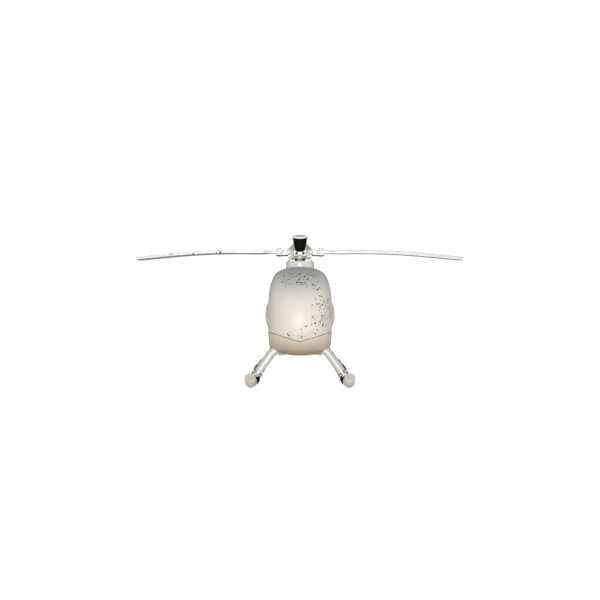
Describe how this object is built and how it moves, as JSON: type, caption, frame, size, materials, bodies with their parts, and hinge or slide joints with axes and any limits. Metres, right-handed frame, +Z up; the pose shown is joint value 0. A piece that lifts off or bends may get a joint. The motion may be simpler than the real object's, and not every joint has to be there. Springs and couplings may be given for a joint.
{
  "type": "remote control helicopter",
  "caption": "Model helicopter with an egg-shaped shell, hinged rotor blades with collective pitch, skid landing gear, slide-off nose and driven tail rotor.",
  "frame": {"origin": "centre of the belly plate's lower face, straight below the main rotor mast", "axes": "+Z up along the mast; -Y towards the nose, +Y towards the tail; +X to the right as seen from the front, along the main blades at rest"},
  "size_m": [0.7, 0.6759, 0.3091],
  "materials": {
    "shell": "moulded shell, off white, satin with small paint specks",
    "collar": "satin collar ring",
    "pod": "satin, faintly pink",
    "blade": "white, satin",
    "grip": "white moulded",
    "link": "ivory moulded",
    "silver": "silver grey, smooth",
    "block": "machined",
    "yoke": "grey, satin",
    "black": "black cup",
    "skid": "black tube",
    "toe": "beige end piece",
    "lid": "white lid",
    "steel": "turned",
    "carbon": "woven fibre board",
    "nylon": "nylon",
    "servo": "dark case",
    "battery": "shrink wrap",
    "board": "dark case",
    "motor": "turned"
  },
  "bodies": {
    "airframe": {"belly_pan": "shell", "rear_cowl": "shell", "mast_collar": "collar", "left_side_pod": "pod", "right_side_pod": "pod", "belly_plate": "silver", "left_frame_plate": "carbon", "right_frame_plate": "carbon", "front_landing_bow": "silver", "rear_landing_bow": "silver", "left_skid_tube": "skid", "right_skid_tube": "skid", "left_skid_toe": "toe", "right_skid_toe": "toe", "front_left_skid_clamp": "silver", "front_right_skid_clamp": "silver", "rear_left_skid_clamp": "silver", "rear_right_skid_clamp": "silver", "upper_bearing_block": "block", "lower_bearing_block": "block", "motor_mount": "motor", "battery_tray": "carbon", "battery_pack": "battery", "speed_controller": "board", "receiver_unit": "board", "left_servo": "servo", "right_servo": "servo", "rear_servo": "servo", "boom_clamp": "block", "tail_boom": "carbon", "tail_fin": "shell", "tail_stabiliser": "shell", "tail_motor_mount": "block"},
    "canopy": {"nose_canopy": "shell"},
    "rotor": {"mast": "steel", "main_gear": "nylon", "rotor_hub": "grip", "yoke_cap": "yoke", "hub_cup": "black", "hub_lid": "lid", "feathering_spindle": "steel"},
    "right_grip": {"right_blade_grip": "grip", "right_blade_bolt": "steel"},
    "left_grip": {"left_blade_grip": "grip", "left_blade_bolt": "steel"},
    "right_blade": {"right_main_blade": "blade"},
    "left_blade": {"left_main_blade": "blade"},
    "swash_lower": {"swash_lower_ring": "silver", "left_servo_rod": "link", "right_servo_rod": "link", "rear_servo_rod": "link"},
    "swash_upper": {"swash_upper_ring": "silver", "front_pitch_link": "link", "rear_pitch_link": "link"},
    "left_horn": {"left_servo_horn": "nylon"},
    "right_horn": {"right_servo_horn": "nylon"},
    "rear_horn": {"rear_servo_horn": "nylon"},
    "motor": {"motor_rotor": "motor"},
    "tail_rotor": {"tail_motor_bell": "motor", "tail_rotor": "blade"}
  },
  "joints": [
    {"name": "canopy_slide", "type": "slide", "parent": "airframe", "child": "canopy", "axis": [0, 1, 0], "range_m": [-0.16, 0]},
    {"name": "main_rotor_spin", "type": "hinge", "parent": "airframe", "child": "rotor", "pos_m": [0, 0, 0.2138], "axis": [0, 0, 1], "continuous": true},
    {"name": "collective", "type": "slide", "parent": "airframe", "child": "swash_lower", "axis": [0, 0, 1], "range_m": [-0.003, 0.003]},
    {"name": "swashplate_spin", "type": "hinge", "parent": "swash_lower", "child": "swash_upper", "pos_m": [0, 0, 0.202], "axis": [0, 0, 1], "continuous": true},
    {"name": "right_blade_pitch", "type": "hinge", "parent": "rotor", "child": "right_grip", "pos_m": [0.03, 0, 0.2138], "axis": [1, 0, 0], "range_deg": [-11, 11]},
    {"name": "left_blade_pitch", "type": "hinge", "parent": "rotor", "child": "left_grip", "pos_m": [-0.03, 0, 0.2138], "axis": [1, 0, 0], "range_deg": [-11, 11]},
    {"name": "right_blade_fold", "type": "hinge", "parent": "right_grip", "child": "right_blade", "pos_m": [0.0453, 0, 0.2138], "axis": [0, 0, -1], "range_deg": [-90, 90]},
    {"name": "left_blade_fold", "type": "hinge", "parent": "left_grip", "child": "left_blade", "pos_m": [-0.0453, 0, 0.2138], "axis": [0, 0, 1], "range_deg": [-90, 90]},
    {"name": "left_servo_turn", "type": "hinge", "parent": "airframe", "child": "left_horn", "pos_m": [-0.022, 0.012, 0.125], "axis": [1, 0, 0], "range_deg": [-16, 16]},
    {"name": "right_servo_turn", "type": "hinge", "parent": "airframe", "child": "right_horn", "pos_m": [0.022, 0.012, 0.125], "axis": [1, 0, 0], "range_deg": [-16, 16]},
    {"name": "rear_servo_turn", "type": "hinge", "parent": "airframe", "child": "rear_horn", "pos_m": [0.01, 0.022, 0.125], "axis": [0, 1, 0], "range_deg": [-19, 19]},
    {"name": "motor_spin", "type": "hinge", "parent": "airframe", "child": "motor", "pos_m": [0, 0.04495, 0.06], "axis": [0, 0, 1], "continuous": true},
    {"name": "tail_rotor_spin", "type": "hinge", "parent": "airframe", "child": "tail_rotor", "pos_m": [0.026, 0.442, 0.124], "axis": [1, 0, 0], "continuous": true}
  ],
  "couplings": [
    {"joint": "swashplate_spin", "follows": "main_rotor_spin", "ratio": 1},
    {"joint": "motor_spin", "follows": "main_rotor_spin", "ratio": -5.2},
    {"joint": "right_blade_pitch", "follows": "collective", "rad_per_m": -62.5},
    {"joint": "left_blade_pitch", "follows": "collective", "rad_per_m": 62.5},
    {"joint": "left_servo_turn", "follows": "collective", "rad_per_m": -83.333},
    {"joint": "right_servo_turn", "follows": "collective", "rad_per_m": -83.333},
    {"joint": "rear_servo_turn", "follows": "collective", "rad_per_m": 100}
  ]
}
